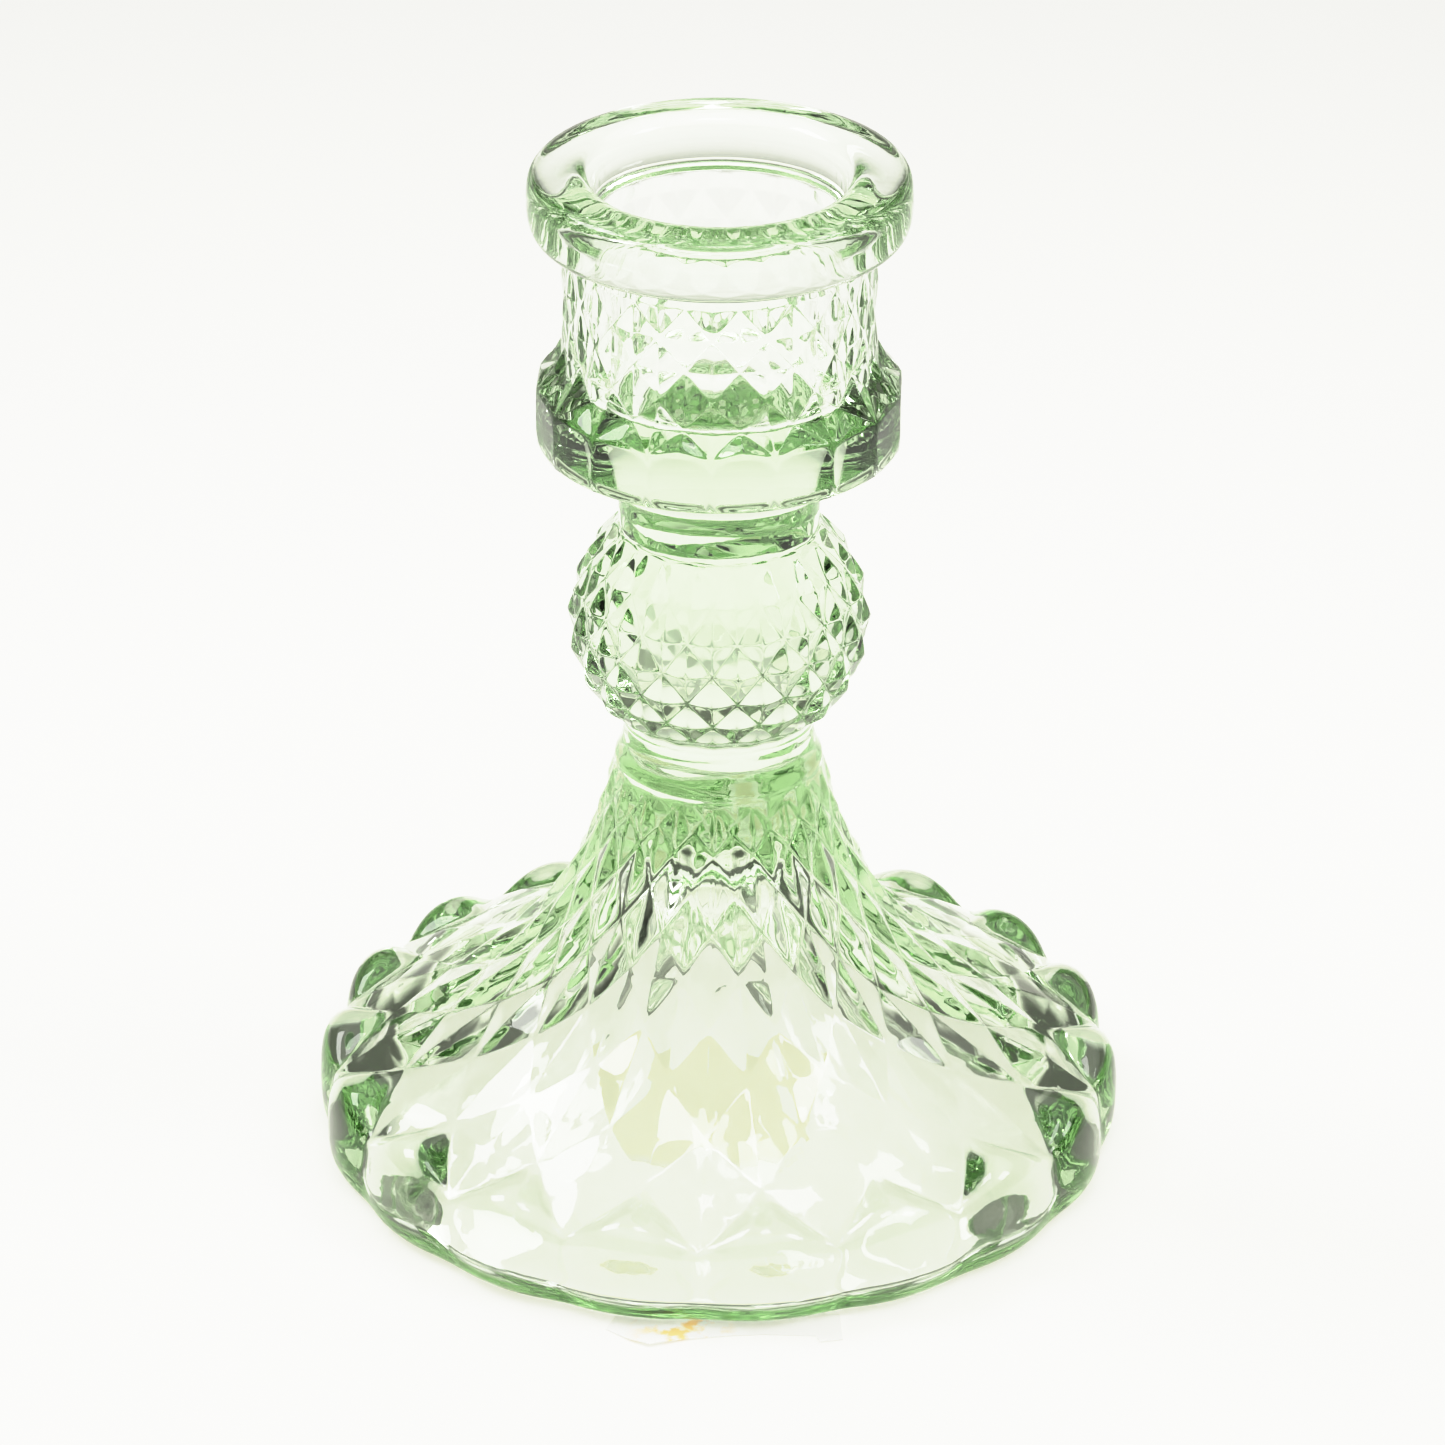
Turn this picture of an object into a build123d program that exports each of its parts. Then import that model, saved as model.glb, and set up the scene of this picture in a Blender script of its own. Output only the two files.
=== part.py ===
"""Pressed-glass candlestick: flanged candle cup, faceted collar, round knop and flared foot.

The object stands on its base ring at z = 0, with its axis on +Z. Sizes are in millimetres.
The pattern repeats every 20 degrees round the axis: a notch of the foot, a corner of the
collar and a column of lattice crossings all lie on the -Y side of the axis.
"""

from build123d import *
from math import cos, pi, sin, sqrt
import os

os.makedirs("parts", exist_ok=True)

# Driving dimensions ---------------------------------------------------------------------

height = 100.4  # base ring to the top of the rim
sides = 18  # facets round every patterned stretch
step = 360 / sides

rim_radius = 17.65
rim_underside = 94.2
rim_outer_round = 1.9
rim_lip_round = 1.3
rim_foot_round = 0.5

socket_radius = 11.4
socket_floor = 77.5
socket_floor_round = 2.0

cup_radius = 14.25
cup_foot = 83.3  # the level where the cup's diamonds meet the collar's kites
cup_row = 3.1  # height between rows of crossings on the cup

kite_radius = 14.85  # to the crossings between the cup's foot and the collar
kite_level = 80.85

collar_radius = 17.05  # to the corners
collar_shoulder = 79.0  # top of the upright panels
collar_underside = 73.6
collar_edge = 0.5

neck_radius = 9.4
neck_cove = 4.0
knop_top = 65.1

knop_centre = 54.7
knop_radius = 13.6  # to the crossings
knop_top_row = 64.5
knop_bottom = 46.6

waist_radius = 8.9
foot_top = 39.6
foot_top_radius = 9.95

foot_split = 20.0  # level between the solid spire of the foot and its hollow skirt
edge_height = 7.5  # top of the notches in the scalloped edge
notch_radius = 37.25
lobe_radius = 38.75
edge_chamfer = 0.5
hollow_top = 29.0
base_ring_inner_radius = 33.4

label_thickness = 0.15


# Faceted bodies -------------------------------------------------------------------------


def at(radius, turn, z):
    """A point at a radius and a height, turned from -Y by a number of facets."""
    angle = turn * step * pi / 180
    return Vector(radius * sin(angle), -radius * cos(angle), z)


def flat_face(*points):
    return Face(Wire.make_polygon(points, close=True))


def pyramid(corners, tip):
    """The four triangles from a diamond's corners up to its raised tip."""
    return [flat_face(corners[i], corners[(i + 1) % 4], tip) for i in range(4)]


def lattice_faces(rows, lifts):
    """Raised diamonds between rows of crossings, listed from the top down.

    A row is (radius, height, offset), and its crossings are turned half a facet from the
    rows beside it. A lift is how far a diamond's tip stands out from its row's radius.
    """
    faces = []
    for i in range(1, len(rows) - 1):
        above, row, below = rows[i - 1], rows[i], rows[i + 1]
        for k in range(sides):
            middle = row[2] + k + 0.5
            corners = [
                at(above[0], middle, above[1]),
                at(row[0], middle - 0.5, row[1]),
                at(below[0], middle, below[1]),
                at(row[0], middle + 0.5, row[1]),
            ]
            tip = at(row[0] + lifts[i - 1], middle, row[1])
            faces += pyramid(corners, tip)
    return faces


def end_faces(rows, top):
    """The half diamonds and the flat end that close the first or the last row."""
    row, beside = (rows[0], rows[1]) if top else (rows[-1], rows[-2])
    faces = [flat_face(*[at(row[0], row[2] + k, row[1]) for k in range(sides)])]
    for k in range(sides):
        left = at(row[0], row[2] + k, row[1])
        right = at(row[0], row[2] + k + 1, row[1])
        faces.append(flat_face(left, right, at(beside[0], row[2] + k + 0.5, beside[1])))
    return faces


def closed_solid(faces):
    body = Solid(Shell(faces))
    return body if body.volume > 0 else Solid(body.wrapped.Reversed())


def cut_between(body, low, high):
    """The slice of a body between two levels."""
    lower = split(body, bisect_by=Plane.XY.offset(high), keep=Keep.BOTTOM)
    return split(lower, bisect_by=Plane.XY.offset(low), keep=Keep.TOP)


# Candle socket: the blind bore that runs down through the rim, the cup and the collar -----

with BuildPart() as socket_space:
    with BuildSketch(Plane.XZ) as socket_profile:
        with BuildLine():
            Polyline(
                (0, height + 1),
                (0, socket_floor),
                (socket_radius, socket_floor),
                (socket_radius, height + 1),
                close=True,
            )
        make_face()
        floor_corner = socket_profile.vertices().sort_by(Axis.X)[-2:].sort_by(Axis.Y)[0]
        fillet(floor_corner, socket_floor_round)
    revolve(axis=Axis.Z)


# Rim: the round flange that the candle drops through ---------------------------------------

with BuildPart() as rim:
    with BuildSketch(Plane.XZ) as rim_profile:
        with BuildLine():
            Polyline(
                (socket_radius, rim_underside),
                (rim_radius, rim_underside),
                (rim_radius, height),
                (socket_radius, height),
                close=True,
            )
        make_face()
        top_corners = rim_profile.vertices().group_by(Axis.Y)[-1].sort_by(Axis.X)
        fillet(top_corners[-1], rim_outer_round)
        fillet(rim_profile.vertices().group_by(Axis.Y)[-1].sort_by(Axis.X)[0], rim_lip_round)
        fillet(rim_profile.vertices().group_by(Axis.Y)[0].sort_by(Axis.X)[-1], rim_foot_round)
    revolve(axis=Axis.Z)

rim.part.label = "rim"
export_step(rim.part, "parts/rim.step")


# Candle cup and collar: one faceted outer skin, cut into its two pieces ---------------------

cup_rows = [
    (cup_radius, cup_foot + 4 * cup_row, 0),
    (cup_radius, cup_foot + 3 * cup_row, 0.5),
    (cup_radius, cup_foot + 2 * cup_row, 0),
    (cup_radius, cup_foot + cup_row, 0.5),
    (cup_radius, cup_foot, 0),
    (kite_radius, kite_level, 0.5),
    (collar_radius, collar_shoulder, 0),
]
cup_lifts = [0.25, 0.25, 0.25, 0.3, 0.35]
cup_skin = closed_solid(
    lattice_faces(cup_rows, cup_lifts) + end_faces(cup_rows, True) + end_faces(cup_rows, False)
)

cup_slice = cut_between(cup_skin, cup_foot, rim_underside)
kite_slice = cut_between(cup_skin, collar_shoulder, cup_foot)

with BuildPart() as candle_cup:
    add(cup_slice)
    add(socket_space.part, mode=Mode.SUBTRACT)

candle_cup.part.label = "candle_cup"
export_step(candle_cup.part, "parts/candle_cup.step")

with BuildPart() as collar:
    with BuildSketch(Plane.XY.offset(collar_underside)):
        RegularPolygon(collar_radius, sides, rotation=-90)
    extrude(amount=collar_shoulder - collar_underside)
    chamfer(collar.edges().group_by(Axis.Z)[0], collar_edge)
    add(kite_slice)
    add(socket_space.part, mode=Mode.SUBTRACT)

collar.part.label = "collar"
export_step(collar.part, "parts/collar.step")


# Upper neck: the plain stem that flares into the underside of the collar --------------------

with BuildPart() as upper_neck:
    with BuildSketch(Plane.XZ):
        with BuildLine():
            stem = Line((neck_radius, knop_top), (neck_radius, collar_underside - neck_cove))
            cove = JernArc(stem @ 1, (0, 1), neck_cove, -90)
            Polyline(cove @ 1, (0, collar_underside), (0, knop_top), stem @ 0)
        make_face()
    revolve(axis=Axis.Z)

upper_neck.part.label = "upper_neck"
export_step(upper_neck.part, "parts/upper_neck.step")


# Knop: the ball of raised diamonds ----------------------------------------------------------


def on_ball(z, offset):
    return (sqrt(knop_radius**2 - (z - knop_centre) ** 2), z, offset)


knop_rows = [
    on_ball(knop_top_row, 0.5),
    on_ball(61.4, 0),
    on_ball(58.3, 0.5),
    on_ball(55.2, 0),
    on_ball(52.1, 0.5),
    on_ball(49.1, 0),
    on_ball(knop_bottom, 0.5),
]
knop_lifts = [0.35, 0.5, 0.55, 0.5, 0.35]
knop_skin = closed_solid(
    lattice_faces(knop_rows, knop_lifts) + end_faces(knop_rows, True) + end_faces(knop_rows, False)
)

with BuildPart() as knop:
    add(knop_skin)
    with BuildSketch(Plane.XY.offset(knop_top_row)):
        Circle(neck_radius)
    extrude(amount=knop_top - knop_top_row)

knop.part.label = "knop"
export_step(knop.part, "parts/knop.step")


# Lower neck: the waisted ring between the knop and the foot ---------------------------------

with BuildPart() as lower_neck:
    with BuildSketch(Plane.XZ):
        with BuildLine():
            waist = ThreePointArc((10.2, knop_bottom), (waist_radius, 44.6), (9.1, 42.0))
            bead = Polyline(waist @ 1, (9.4, 41.2), (9.85, 40.6), (foot_top_radius, foot_top))
            Polyline(bead @ 1, (0, foot_top), (0, knop_bottom), waist @ 0)
        make_face()
    revolve(axis=Axis.Z)

lower_neck.part.label = "lower_neck"
export_step(lower_neck.part, "parts/lower_neck.step")


# Foot: one flared skin of diamonds over a bell-shaped hollow, cut into three pieces ---------

foot_rows = [
    (foot_top_radius, foot_top, 0),
    (10.4, 37.0, 0.5),
    (10.9, 34.8, 0),
    (12.0, 31.3, 0.5),
    (13.5, 27.9, 0),
    (15.4, 24.0, 0.5),
    (18.05, foot_split, 0),
    (21.8, 16.65, 0.5),
    (26.3, 13.45, 0),
    (31.4, 10.7, 0.5),
    (notch_radius, edge_height, 0),
]
foot_lifts = [0.35, 0.4, 0.45, 0.55, 0.7, 0.85, 0.95, 1.0, 1.0]

lobe_points = 4  # straight runs along one lobe of the scalloped edge
lobe_chord = notch_radius * cos(pi / sides)
pillow_radius = 36.2
pillow_height = 9.9


def lobe_outline(z, inset=0.0):
    """The scalloped outline at one height: bowed lobes that meet at the notches."""
    points = []
    for k in range(sides):
        for j in range(lobe_points):
            across = 2 * j / lobe_points - 1
            bow = (lobe_radius - lobe_chord) * (1 - across**2)
            half_width = notch_radius * sin(pi / sides)
            out = lobe_chord + bow - inset
            radius = sqrt(out**2 + (half_width * across) ** 2)
            turn = k + 0.5 + across * half_width / out / (step * pi / 180)
            if j == 0:
                radius, turn = notch_radius - inset, k
            points.append(at(radius, turn, z))
    return points


def foot_faces():
    """The foot's skin from its top to the notches, with a pillow over each lobe."""
    faces = lattice_faces(foot_rows, foot_lifts) + end_faces(foot_rows, True)
    outline = lobe_outline(edge_height)
    faces.append(flat_face(*outline))
    for k in range(sides):
        first = k * lobe_points
        edge = [outline[(first + j) % len(outline)] for j in range(lobe_points + 1)]
        crest = at(foot_rows[-2][0], k + 0.5, foot_rows[-2][1])
        loop = [crest] + edge
        tip = at(pillow_radius, k + 0.5, pillow_height)
        for a, b in zip(loop, loop[1:] + loop[:1]):
            faces.append(flat_face(a, b, tip))
    return faces


foot_skin = closed_solid(foot_faces())

with BuildPart() as foot_hollow:
    with BuildSketch(Plane.XZ):
        with BuildLine():
            dome = Spline(
                (0, hollow_top),
                (6.2, 26.6),
                (10.0, 21.8),
                (16.2, 15.0),
                (24.5, 9.6),
                (31.0, 4.6),
                (base_ring_inner_radius, 0),
                tangents=((1, 0), (0.15, -1)),
            )
            Polyline(dome @ 1, (base_ring_inner_radius, -1), (0, -1), (0, hollow_top))
        make_face()
    revolve(axis=Axis.Z)

spire_slice = cut_between(foot_skin, foot_split, foot_top + 1)
skirt_slice = cut_between(foot_skin, edge_height - 1, foot_split)

with BuildPart() as foot_spire:
    add(spire_slice)
    add(foot_hollow.part, mode=Mode.SUBTRACT)

foot_spire.part.label = "foot_spire"
export_step(foot_spire.part, "parts/foot_spire.step")

with BuildPart() as foot_skirt:
    add(skirt_slice)
    add(foot_hollow.part, mode=Mode.SUBTRACT)

foot_skirt.part.label = "foot_skirt"
export_step(foot_skirt.part, "parts/foot_skirt.step")


# Paper label: the torn remains of a sticker, pressed flush into the base ring's plane --------

with BuildPart() as paper_label:
    with BuildSketch():
        with BuildLine():
            Polyline(
                (-9.5, 11.5),
                (8.5, 12.5),
                (9.6, 4.0),
                (9.2, -12.0),
                (12.4, -30.0),
                (13.2, -38.6),
                (11.4, -39.0),
                (10.4, -38.0),
                (-1.0, -38.8),
                (-5.2, -39.3),
                (-8.4, -38.6),
                (-9.0, -24.0),
                (-10.2, -8.0),
                close=True,
            )
        make_face()
    extrude(amount=label_thickness)

paper_label.part.label = "paper_label"
export_step(paper_label.part, "parts/paper_label.step")


# Scalloped edge: the upright lobes round the foot, with the ring that the object stands on ---

with BuildPart() as scalloped_edge:
    with BuildSketch():
        with BuildLine():
            Polyline(*lobe_outline(0), close=True)
        make_face()
    extrude(amount=edge_height)
    chamfer(scalloped_edge.faces().sort_by(Axis.Z)[0].edges(), edge_chamfer)
    add(foot_hollow.part, mode=Mode.SUBTRACT)
    add(paper_label.part, mode=Mode.SUBTRACT)

scalloped_edge.part.label = "scalloped_edge"
export_step(scalloped_edge.part, "parts/scalloped_edge.step")
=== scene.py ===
import bmesh
import bpy
import math
from mathutils import Matrix, Vector


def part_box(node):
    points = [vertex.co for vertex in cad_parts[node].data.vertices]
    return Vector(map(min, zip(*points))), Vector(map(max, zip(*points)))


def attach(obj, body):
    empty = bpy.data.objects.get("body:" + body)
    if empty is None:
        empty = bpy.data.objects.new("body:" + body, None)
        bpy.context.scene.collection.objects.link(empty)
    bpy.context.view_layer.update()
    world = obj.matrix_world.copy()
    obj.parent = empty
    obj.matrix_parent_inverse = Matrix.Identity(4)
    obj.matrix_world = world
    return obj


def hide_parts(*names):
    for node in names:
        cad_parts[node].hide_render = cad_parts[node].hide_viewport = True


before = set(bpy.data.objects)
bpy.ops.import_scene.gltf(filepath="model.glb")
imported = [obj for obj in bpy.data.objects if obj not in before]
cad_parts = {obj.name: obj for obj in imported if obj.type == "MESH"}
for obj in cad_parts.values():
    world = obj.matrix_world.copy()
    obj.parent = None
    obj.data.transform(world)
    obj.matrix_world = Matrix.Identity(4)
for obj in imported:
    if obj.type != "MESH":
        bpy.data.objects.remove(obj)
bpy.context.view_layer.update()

# Scalloped edge -------------------------------------------------------------------------
# The candlestick is one pressing of pale green glass, so all of its stretches go into one
# mesh, one facet wide, which is then turned round the axis. It starts with the edge of the
# foot: eighteen bowed lobes that roll over from the foot and meet at upright creases.

sides = 18
step = math.tau / sides
mm = 0.001
casting = bmesh.new()
crease = casting.edges.layers.float.new("crease_edge")
lobe_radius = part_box("scalloped_edge")[1].x / mm
notch_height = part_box("scalloped_edge")[1].z / mm
notch_depth = 1.5
notch_radius = lobe_radius - notch_depth
crest_radius, crest_height = 31.4, 10.7  # where the last diamonds end, over each lobe
underside = 0.14  # the glass rests on the scraps of paper


def at(radius, turn, z):
    """A new point of the casting, in millimetres, turned from the front by facets."""
    place = (radius * math.sin(turn * step), -radius * math.cos(turn * step), z)
    return casting.verts.new(Vector(place) * mm)


def face(points, crisp=False):
    """A new face of the casting. The edges of crisp faces are narrowly rounded later."""
    made = casting.faces.new(points)
    made.material_index = int(crisp)
    return made


# Each row holds the lobe's radius and height, the notch's radius and height, and how the
# outline bends between them: 1 is straight, and 2 is bowed.
lobe_rows = [
    (crest_radius, crest_height, notch_radius, notch_height, 1),
    (35.3, 10.95, notch_radius + 0.1, notch_height - 0.35, 1.5),
    (37.8, 9.9, notch_radius + 0.15, notch_height - 1.0, 2),
    (lobe_radius, 8.0, notch_radius + 0.25, notch_height - 2.4, 2),
    (lobe_radius + 0.15, 4.6, notch_radius + 0.4, notch_height - 4.4, 2),
    (lobe_radius, 0.9, notch_radius + 0.6, 0.9, 2),
    (lobe_radius - 1.4, underside, notch_radius - 0.3, underside, 2),
]
notch_creases = [0.75, 0.7, 0.6, 0.5, 0.35, 0.15]  # sharp at the top, and fading downwards
rows_of_points = []
for lobe, lobe_z, notch, notch_z, bend in lobe_rows:
    points = []
    for turn in (0, 0.25, 0.5, 0.75, 1):
        away = abs(2 * turn - 1) ** bend
        points.append(at(lobe + (notch - lobe) * away, turn, lobe_z + (notch_z - lobe_z) * away))
    rows_of_points.append(points)
for upper, lower, strength in zip(rows_of_points, rows_of_points[1:], notch_creases):
    for left in range(4):
        face([lower[left], lower[left + 1], upper[left + 1], upper[left]])
    for side in (0, -1):
        casting.edges.get((upper[side], lower[side]))[crease] = strength

# Base ring and hollow -------------------------------------------------------------------
# The glass ends below in a narrow flat ring that stands on the table. Inside it is a smooth
# bell-shaped hollow, pressed by a plunger while the glass was soft.

wide = 1.0205  # a smooth ring of eighteen points draws in by this much
base_inner = 33.6
ring_inner = [at(base_inner * wide, 0, underside), at(base_inner * wide, 1, underside)]
face(ring_inner + rows_of_points[-1][::-1])


def band(rows, offset, creases=None):
    """Plain smooth bands between rings of (radius, height), one facet wide."""
    rings = [[at(r * wide, offset, z), at(r * wide, offset + 1, z)] for r, z in rows]
    for low, high in zip(rings, rings[1:]):
        face([low[0], low[1], high[1], high[0]])
    for i, strength in (creases or {}).items():
        casting.edges.get(rings[i])[crease] = strength


def cap(ring, middle_height, offset):
    """The wedge that closes a smooth stretch on the axis."""
    radius, height = ring
    rim_points = [at(radius * wide, offset + side, height) for side in (0, 1)]
    face(rim_points + [at(0, 0, middle_height)])


hollow = [
    (base_inner, underside),
    (32.6, 1.8),
    (28.2, 5.6),
    (19.8, 10.4),
    (12.6, 16.6),
    (8.3, 24.0),
    (4.2, 28.6),
]
hollow_top = 29.3
band(hollow, 0, {0: 0.3})
cap(hollow[-1], hollow_top, 0)

# Foot -----------------------------------------------------------------------------------
# The foot flares from a narrow spire to the notches in rows of raised diamonds, cut into
# the mould. The small ones at the top came out soft, and the large ones crisp.

# Each row of crossings has a radius and a height, and is turned half a facet from the last.
foot_rows = [
    (notch_radius, notch_height),
    (crest_radius, crest_height),
    (26.3, 13.45),
    (21.8, 16.65),
    (18.05, 20.0),
    (15.4, 24.0),
    (13.5, 27.9),
    (11.9, 31.3),
    (10.9, 34.8),
    (10.4, 37.0),
    (9.95, 39.6),
]
# How far the tips of the diamonds stand out from their crossings, row by row.
foot_lifts = [1.1, 1.1, 1.05, 0.95, 0.85, 0.75, 0.65, 0.55, 0.45]
soft_rows = 5  # from this row up, the diamonds are soft
soft_crease = 0.65


def diamond(corners, tip_radius, tip_turn, tip_z, crisp=True):
    """A raised diamond, as a pyramid from its corners to its tip."""
    poked = bmesh.ops.poke(casting, faces=[face(corners, crisp)], center_mode="MEAN")
    tip = poked["verts"][0]
    place = (tip_radius * math.sin(tip_turn * step), -tip_radius * math.cos(tip_turn * step), tip_z)
    tip.co = Vector(place) * mm
    if not crisp:
        for linked in tip.link_faces:
            for edge in linked.edges:
                edge[crease] = soft_crease


def lattice(rows, lifts, first_row=0, soft_from=99):
    """One column of raised diamonds between rows of crossings that take turns."""
    for i, lift in enumerate(lifts):
        if i < first_row:
            continue
        below, row, above = rows[i : i + 3]
        middle = 1 if i % 2 == 0 else 0.5
        corners = [
            at(below[0], middle, below[1]),
            at(row[0], middle + 0.5, row[1]),
            at(above[0], middle, above[1]),
            at(row[0], middle - 0.5, row[1]),
        ]
        diamond(corners, row[0] + lift, middle, row[1], i < soft_from)


def half_diamond(ring, beside, offset, tip=None):
    """The triangle that closes a lattice against a plain ring, flat or raised to a tip."""
    base = [at(ring[0], offset + side, ring[1]) for side in (0, 1)]
    corners = base + [at(beside[0], offset + 0.5, beside[1])]
    if tip:
        diamond(corners, tip[0], offset + 0.5, tip[1])
    else:
        face(corners, True)


quarter_radius = (crest_radius + notch_radius) / 2
quarter_height = (crest_height + notch_height) / 2
lowest = [
    at(notch_radius, 1, notch_height),
    at(quarter_radius, 1.25, quarter_height),
    at(crest_radius, 1.5, crest_height),
    at(foot_rows[2][0], 1, foot_rows[2][1]),
    at(crest_radius, 0.5, crest_height),
    at(quarter_radius, 0.75, quarter_height),
]
diamond(lowest, crest_radius + foot_lifts[0], 1, crest_height)
lattice(foot_rows, foot_lifts, 1, soft_rows)
half_diamond(foot_rows[-1], foot_rows[-2], 0)

# Lower neck -----------------------------------------------------------------------------
# A plain waisted ring of solid glass, smooth from the mould, with a low bead where it meets
# the foot's diamonds.

knop_foot = (9.6, 45.8)
lower_neck = [
    (foot_rows[-1][0] / wide, foot_rows[-1][1]),
    (9.9, 40.4),
    (9.2, 41.7),
    (8.85, 44.0),
    (knop_foot[0] / wide, knop_foot[1]),
]
band(lower_neck, 0, {1: 0.35})

# Knop -----------------------------------------------------------------------------------
# A solid ball, pressed in the same mould, with rows of raised four-sided diamonds that bump
# its outline.

knop_middle, knop_radius = 54.7, 13.6


def on_ball(z):
    return (math.sqrt(knop_radius**2 - (z - knop_middle) ** 2), z)


knop_top = (9.5, 64.6)
knop_rows = [knop_foot] + [on_ball(z) for z in (47.2, 49.4, 52.2, 55.2, 58.3, 61.4)] + [knop_top]
knop_lifts = [0.35, 0.55, 0.7, 0.75, 0.7, 0.55]
half_diamond(knop_rows[0], knop_rows[1], 0)
lattice(knop_rows, knop_lifts)
half_diamond(knop_rows[-1], knop_rows[-2], 0.5)

# Upper neck -----------------------------------------------------------------------------
# The plain solid stem under the cup. It stays smooth, and opens in a cove into the flat
# underside of the collar.

collar_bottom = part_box("collar")[0].z / mm
upper_neck = [
    (knop_top[0] / wide, knop_top[1]),
    (9.4, 65.4),
    (9.4, 68.8),
    (9.9, 71.6),
    (11.8, 73.3),
    (14.6, collar_bottom),
]
band(upper_neck, 0.5)

# Collar ---------------------------------------------------------------------------------
# Eighteen upright flat panels, pressed round the widest part of the cup. Kites and triangles
# slope from the diamonds above out to the panels' corners.

collar_radius = 17.05
shoulder = 79.0
neck_ring = upper_neck[-1][0] * wide
lower_corners = [at(collar_radius, turn, collar_bottom) for turn in (0, 1)]
upper_corners = [at(collar_radius, turn, shoulder) for turn in (1, 0)]
face(lower_corners + upper_corners, True)
face(lower_corners + [at(neck_ring, 0.5, collar_bottom)])
face([lower_corners[0], at(neck_ring, -0.5, collar_bottom), at(neck_ring, 0.5, collar_bottom)])

# Candle cup -----------------------------------------------------------------------------
# The wall of the socket, pressed in the mould with shallow diamonds that run down to the
# collar's kites.

cup_radius = 14.25
rim_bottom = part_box("rim")[0].z / mm
cup_rows = [(collar_radius, shoulder), (14.65, 80.85)]
cup_rows += [(cup_radius, z) for z in (83.3, 86.4, 89.5, 92.6, rim_bottom + 0.2)]
cup_lifts = [0.95, 0.35, 0.32, 0.32, 0.3]
half_diamond(cup_rows[0], cup_rows[1], 0, (16.5, 79.55))
lattice(cup_rows, cup_lifts)
half_diamond(cup_rows[-1], cup_rows[-2], 0)

# Rim and socket -------------------------------------------------------------------------
# The smooth flange round the mouth, rounded by the fire, and the blind socket that the
# plunger left for the candle.

rim_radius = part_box("rim")[1].x / mm
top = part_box("rim")[1].z / mm
socket = 11.4
rim = [
    (cup_radius / wide, rim_bottom + 0.2),
    (15.9, rim_bottom - 0.05),
    (17.1, rim_bottom + 0.35),
    (rim_radius, rim_bottom + 1.5),
    (rim_radius + 0.05, top - 2.2),
    (rim_radius - 0.15, top - 0.55),
    (rim_radius - 1.3, top + 0.1),
    (socket + 2.4, top),
    (socket + 0.6, top - 0.35),
    (socket, top - 2.0),
    (socket, 81.0),
    (socket - 0.3, 78.2),
    (socket - 2.0, 77.4),
]
band(rim, 0)
socket_floor = 77.35
cap(rim[-1], socket_floor, 0)

# Turning the casting --------------------------------------------------------------------
# The column is repeated round the axis, its seams are closed into one watertight skin, and
# the facets' edges are rounded a little, as fire-polishing leaves them.

bmesh.ops.spin(
    casting,
    geom=casting.verts[:] + casting.edges[:] + casting.faces[:],
    cent=(0, 0, 0),
    axis=(0, 0, 1),
    angle=math.tau,
    steps=sides,
    use_duplicate=True,
)
seam_gap = 0.02 * mm
bmesh.ops.remove_doubles(casting, verts=casting.verts[:], dist=seam_gap)

# The last turn repeats the first column, so its faces are dropped.
seen = set()
spare = []
for made in casting.faces:
    corners = frozenset(made.verts)
    if corners in seen:
        spare.append(made)
    seen.add(corners)
bmesh.ops.delete(casting, geom=spare, context="FACES_ONLY")
bmesh.ops.recalc_face_normals(casting, faces=casting.faces[:])

# Each crisp facet gets a narrow border, so that the subdivision rounds mostly its edges.
facet_round = 0.15 * mm
ridge_crease = 0.5
border_crease = 0.3
nearly_flat = math.radians(4)
facets = [made for made in casting.faces if made.material_index]
for edge in casting.edges:
    beside_facet = any(made.material_index for made in edge.link_faces)
    if beside_facet and edge.calc_face_angle(0) > nearly_flat:
        edge[crease] = max(edge[crease], ridge_crease)
bmesh.ops.inset_individual(casting, faces=facets, thickness=facet_round, use_even_offset=True)
for made in facets:
    for edge in made.edges:
        edge[crease] = border_crease
for made in casting.faces:
    made.material_index = 0
    made.smooth = True

glass_casting = bpy.data.objects.new("glass_casting", bpy.data.meshes.new("glass_casting"))
casting.to_mesh(glass_casting.data)
casting.free()
bpy.context.scene.collection.objects.link(glass_casting)
polish = glass_casting.modifiers.new("fire_polish", "SUBSURF")
polish.levels = 2
polish.render_levels = 2

# The glass absorbs more where it is thicker. Its skin has the faint ripple of a cool mould.
glass = bpy.data.materials.new("green_glass")
glass.use_nodes = True
nodes, links = glass.node_tree.nodes, glass.node_tree.links
shader = nodes["Principled BSDF"]
shader.inputs["Base Color"].default_value = (1, 1, 1, 1)
shader.inputs["Roughness"].default_value = 0.0
shader.inputs["IOR"].default_value = 1.5
shader.inputs["Transmission Weight"].default_value = 1.0
place = nodes.new("ShaderNodeTexCoord")
ripple = nodes.new("ShaderNodeTexNoise")
ripple.inputs["Scale"].default_value = 190
ripple.inputs["Detail"].default_value = 3
links.new(place.outputs["Object"], ripple.inputs["Vector"])
chill = nodes.new("ShaderNodeBump")
chill.inputs["Strength"].default_value = 0.35
chill.inputs["Distance"].default_value = 0.12 * mm
links.new(ripple.outputs["Fac"], chill.inputs["Height"])
links.new(chill.outputs["Normal"], shader.inputs["Normal"])
absorb = nodes.new("ShaderNodeVolumeAbsorption")
absorb.inputs["Color"].default_value = (0.60, 0.78, 0.51, 1)
absorb.inputs["Density"].default_value = 38.0
links.new(absorb.outputs["Volume"], nodes["Material Output"].inputs["Volume"])
glass_casting.data.materials.append(glass)

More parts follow.
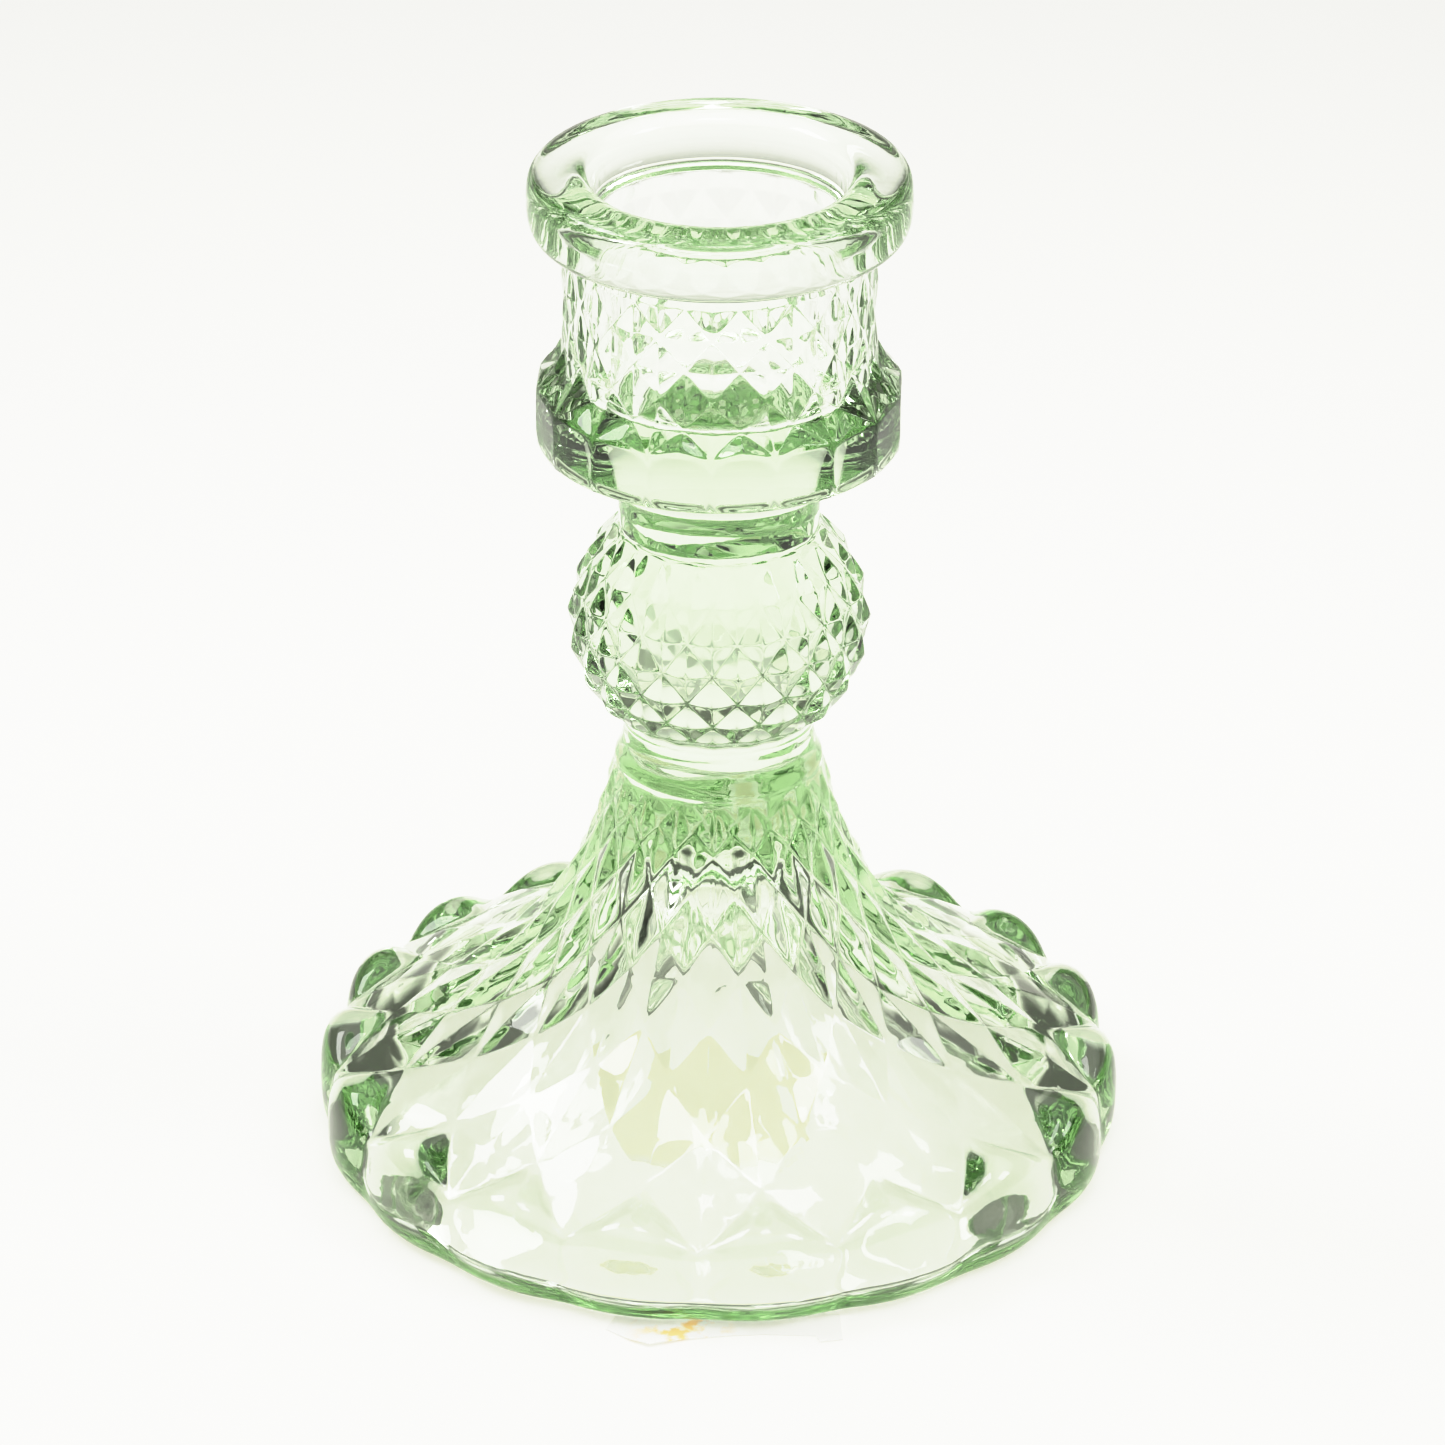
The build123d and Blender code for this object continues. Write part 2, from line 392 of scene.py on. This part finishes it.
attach(glass_casting, "root")
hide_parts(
    "rim",
    "candle_cup",
    "collar",
    "upper_neck",
    "knop",
    "lower_neck",
    "foot_spire",
    "foot_skirt",
    "scalloped_edge",
)

# Paper label ----------------------------------------------------------------------------
# The torn remains of a paper sticker under the base: a cream patch with its gum side up,
# and white scraps that stick out at the front and curl a little.

patch = [(-9.5, 11.8), (-3, 12.6), (8.5, 12.2), (9.8, 3), (8.6, -8.5), (4.5, -10.4), (1.2, -9.4)]
patch += [(-3.4, -11.2), (-8.8, -9.6), (-10.3, -1)]
scrap = [(-1.2, -33), (0.2, -33), (6, -34.5), (13.0, -35.2), (13.4, -39.4), (11.3, -40.0)]
scrap += [(10.9, -38.9), (6.0, -38.9), (3.0, -39.3), (-1.2, -40.2), (-4.4, -41.5), (-6.2, -40.6)]
scrap += [(-8.6, -38.7), (-7.8, -36.4)]
paper_thickness = 0.1 * mm
curl_height = 0.35 * mm
curl_from, curl_length = 38.8, 2.4  # the scraps curl where they come out from the glass
paper = bmesh.new()
for outline in (patch, scrap):
    sheet = paper.faces.new([paper.verts.new((x * mm, y * mm, 0.0)) for x, y in outline])
    bmesh.ops.triangulate(paper, faces=[sheet])
bmesh.ops.remove_doubles(paper, verts=paper.verts[:], dist=0.01 * mm)
bmesh.ops.subdivide_edges(paper, edges=paper.edges[:], cuts=3, use_grid_fill=True)
bmesh.ops.recalc_face_normals(paper, faces=paper.faces[:])
for vert in paper.verts:
    out = max(0.0, -vert.co.y / mm - curl_from)
    vert.co.z = curl_height * min(1.0, out / curl_length) ** 1.5
paper_label = bpy.data.objects.new("torn_label", bpy.data.meshes.new("torn_label"))
paper.to_mesh(paper_label.data)
paper.free()
bpy.context.scene.collection.objects.link(paper_label)
paper_body = paper_label.modifiers.new("paper_body", "SOLIDIFY")
paper_body.thickness = paper_thickness
paper_body.offset = 1 if paper_label.data.polygons[0].normal.z > 0 else -1  # grows upwards

# Matt paper, cream with gum on the patch, and white on the scraps with an orange smear.
label_paper = bpy.data.materials.new("label_paper")
label_paper.use_nodes = True
nodes, links = label_paper.node_tree.nodes, label_paper.node_tree.links
shader = nodes["Principled BSDF"]
shader.inputs["Roughness"].default_value = 0.8
shader.inputs["Specular IOR Level"].default_value = 0.25
shader.inputs["Subsurface Weight"].default_value = 1.0
shader.inputs["Subsurface Radius"].default_value = (1, 1, 1)
shader.inputs["Subsurface Scale"].default_value = 0.0006
place = nodes.new("ShaderNodeTexCoord")
axes = nodes.new("ShaderNodeSeparateXYZ")
links.new(place.outputs["Object"], axes.inputs["Vector"])
gum = nodes.new("ShaderNodeMapRange")
gum.inputs["From Min"].default_value = -12.5 * mm
gum.inputs["From Max"].default_value = -9.0 * mm
links.new(axes.outputs["Y"], gum.inputs["Value"])
mottle = nodes.new("ShaderNodeTexNoise")
mottle.inputs["Scale"].default_value = 420
mottle.inputs["Detail"].default_value = 4
links.new(place.outputs["Object"], mottle.inputs["Vector"])
stain = nodes.new("ShaderNodeValToRGB")
stain.color_ramp.elements[0].position = 0.47
stain.color_ramp.elements[0].color = (0.93, 0.93, 0.92, 1)
stain.color_ramp.elements[1].position = 0.58
stain.color_ramp.elements[1].color = (0.94, 0.55, 0.25, 1)
links.new(mottle.outputs["Fac"], stain.inputs["Fac"])
smear = nodes.new("ShaderNodeVectorMath")
smear.operation = "DISTANCE"
smear.inputs[1].default_value = (-1.5 * mm, -39.8 * mm, 0)
links.new(place.outputs["Object"], smear.inputs[0])
near = nodes.new("ShaderNodeMapRange")
near.inputs["From Min"].default_value = 5.5 * mm
near.inputs["From Max"].default_value = 2.5 * mm
links.new(smear.outputs["Value"], near.inputs["Value"])
white_or_stain = nodes.new("ShaderNodeMix")
white_or_stain.data_type = "RGBA"
white_or_stain.inputs[6].default_value = (0.93, 0.93, 0.92, 1)
links.new(near.outputs["Result"], white_or_stain.inputs[0])
links.new(stain.outputs["Color"], white_or_stain.inputs[7])
with_gum = nodes.new("ShaderNodeMix")
with_gum.data_type = "RGBA"
with_gum.inputs[7].default_value = (0.98, 0.93, 0.68, 1)
links.new(gum.outputs["Result"], with_gum.inputs[0])
links.new(white_or_stain.outputs[2], with_gum.inputs[6])
links.new(with_gum.outputs[2], shader.inputs["Base Color"])
paper_label.data.materials.append(label_paper)

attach(paper_label, "root")
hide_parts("paper_label")

# Floor ----------------------------------------------------------------------------------
# A plain pale table top, with painted light on it. It glows a little, though it is no lamp, so it
# stays pale under the glass that blocks the real light, and its glow and colour dim away from the
# object as a painted pool of light.

bpy.ops.mesh.primitive_plane_add(size=6, location=(0, 0, -0.03 * mm))
floor = bpy.context.object
floor.name = "floor"
pale = bpy.data.materials.new("floor_with_painted_glow")
pale.use_nodes = True
pale_shader = pale.node_tree.nodes["Principled BSDF"]
pale_shader.inputs["Base Color"].default_value = (0.60, 0.60, 0.575, 1)
pale_shader.inputs["Roughness"].default_value = 0.9
pale_shader.inputs["Specular IOR Level"].default_value = 0.0
# Painted light: the floor's own glow stands in for the light that the glass blocks.
pale_shader.inputs["Emission Color"].default_value = (1, 1, 0.82, 1)
pale_shader.inputs["Emission Strength"].default_value = 0.45
pale_nodes, pale_links = pale.node_tree.nodes, pale.node_tree.links
spot = pale_nodes.new("ShaderNodeTexCoord")
away = pale_nodes.new("ShaderNodeVectorMath")
away.operation = "LENGTH"
pale_links.new(spot.outputs["Object"], away.inputs[0])
# Painted pool of light: the floor's glow and colour fade with distance from the object.
for name, near_value, far_value in (("Emission Strength", 0.47, 0.18), ("Base Color", 0.62, 0.4)):
    painted_light_falloff = pale_nodes.new("ShaderNodeMapRange")
    painted_light_falloff.inputs["From Min"].default_value = 0.1
    painted_light_falloff.inputs["From Max"].default_value = 0.45
    painted_light_falloff.inputs["To Min"].default_value = near_value
    painted_light_falloff.inputs["To Max"].default_value = far_value
    pale_links.new(away.outputs["Value"], painted_light_falloff.inputs["Value"])
    pale_links.new(painted_light_falloff.outputs["Result"], pale_shader.inputs[name])
floor.data.materials.append(pale)

# Light ----------------------------------------------------------------------------------
# A soft light overhead and a low white sweep behind, with a dimmer room round the camera.
# Three softboxes put white glints on the facets.

tent = bpy.data.worlds.new("tent")
bpy.context.scene.world = tent
tent.use_nodes = True
tent_nodes, tent_links = tent.node_tree.nodes, tent.node_tree.links
tent_light = 2.0
tent_nodes["Background"].inputs["Strength"].default_value = tent_light
direction = tent_nodes.new("ShaderNodeTexCoord")
axes = tent_nodes.new("ShaderNodeSeparateXYZ")
tent_links.new(direction.outputs["Generated"], axes.inputs["Vector"])


def light_ramp(source, low, high, stops):
    """Brightness along one axis of the room, from (place, brightness) stops."""
    place = tent_nodes.new("ShaderNodeMapRange")
    place.inputs["From Min"].default_value = low
    place.inputs["From Max"].default_value = high
    tent_links.new(source, place.inputs["Value"])
    ramp = tent_nodes.new("ShaderNodeValToRGB")
    ramp.color_ramp.interpolation = "EASE"
    while len(ramp.color_ramp.elements) < len(stops):
        ramp.color_ramp.elements.new(0.5)
    for element, (where, brightness) in zip(ramp.color_ramp.elements, stops):
        element.position = (where - low) / (high - low)
        level = brightness / tent_light
        element.color = (level, level, level * 0.94, 1)
    tent_links.new(place.outputs["Result"], ramp.inputs["Fac"])
    return ramp.outputs["Color"]



def blend_light(kind, first, second):
    """Two brightnesses of the room put together."""
    both = tent_nodes.new("ShaderNodeMix")
    both.data_type = "RGBA"
    both.blend_type = kind
    both.inputs[0].default_value = 1
    tent_links.new(first, both.inputs[6])
    tent_links.new(second, both.inputs[7])
    return both.outputs[2]


room = light_ramp(axes.outputs["Y"], -1, 1, [(-0.9, 0.03), (-0.4, 0.10), (0.1, 0.28), (0.55, 1.3)])
sweep = light_ramp(axes.outputs["Z"], 0, 1, [(0.02, tent_light), (0.25, 0.25)])
overhead = light_ramp(axes.outputs["Z"], 0, 1, [(0.58, 0.0), (0.7, 1.2), (0.9, 1.9)])
light = blend_light("LIGHTEN", blend_light("MULTIPLY", room, sweep), overhead)
tent_links.new(light, tent_nodes["Background"].inputs["Color"])


def softbox(name, place, size, power):
    """A square soft light aimed at the candlestick."""
    lamp = bpy.data.objects.new(name, bpy.data.lights.new(name, "AREA"))
    lamp.data.size = size
    lamp.data.energy = power
    lamp.location = place
    lamp.rotation_euler = (Vector((0, 0, 0.05)) - Vector(place)).to_track_quat("-Z", "Y").to_euler()
    bpy.context.scene.collection.objects.link(lamp)


softbox("left_softbox", (-0.75, 0.25, 1.0), 0.45, 5.5)
softbox("right_softbox", (0.8, -0.1, 0.9), 0.35, 3.0)
softbox("top_softbox", (0.05, -0.1, 1.2), 0.3, 2.0)

# The picture is exposed brightly, and its whites roll off gently instead of clipping.
view = bpy.context.scene.view_settings
view.view_transform = "Standard"
view.use_curve_mapping = True
brightest = 2.0
view.curve_mapping.white_level = (brightest, brightest, brightest)
tone = view.curve_mapping.curves[3]
for lit, shown in [(0.25, 0.22), (0.55, 0.54), (0.85, 0.83), (1.1, 0.92), (1.35, 0.96)]:
    tone.points.new(lit / brightest, shown)
view.curve_mapping.update()

# Light crosses many surfaces of the glass before it leaves.
bpy.context.scene.cycles.max_bounces = 32
bpy.context.scene.cycles.transmission_bounces = 32
bpy.context.scene.cycles.glossy_bounces = 16

# Camera ---------------------------------------------------------------------------------
# A long lens, which stands in front, a little to the right, and looks down on the object.
# Its tilt is under a quarter of a degree.

camera = bpy.data.objects.new("camera", bpy.data.cameras.new("camera"))
bpy.context.scene.collection.objects.link(camera)
camera.data.lens = 171.4
camera.data.sensor_width = 36
azimuth, heading = math.radians(2.61), math.radians(2.574)
pitch, roll = math.radians(28.03), math.radians(0.14)
distance, camera_height = 0.5743, 0.3491
camera.matrix_world = (
    Matrix.Translation((distance * math.sin(azimuth), -distance * math.cos(azimuth), camera_height))
    @ Matrix.Rotation(heading, 4, "Z")
    @ Matrix.Rotation(math.pi / 2 - pitch, 4, "X")
    @ Matrix.Rotation(roll, 4, "Z")
)
bpy.context.scene.camera = camera
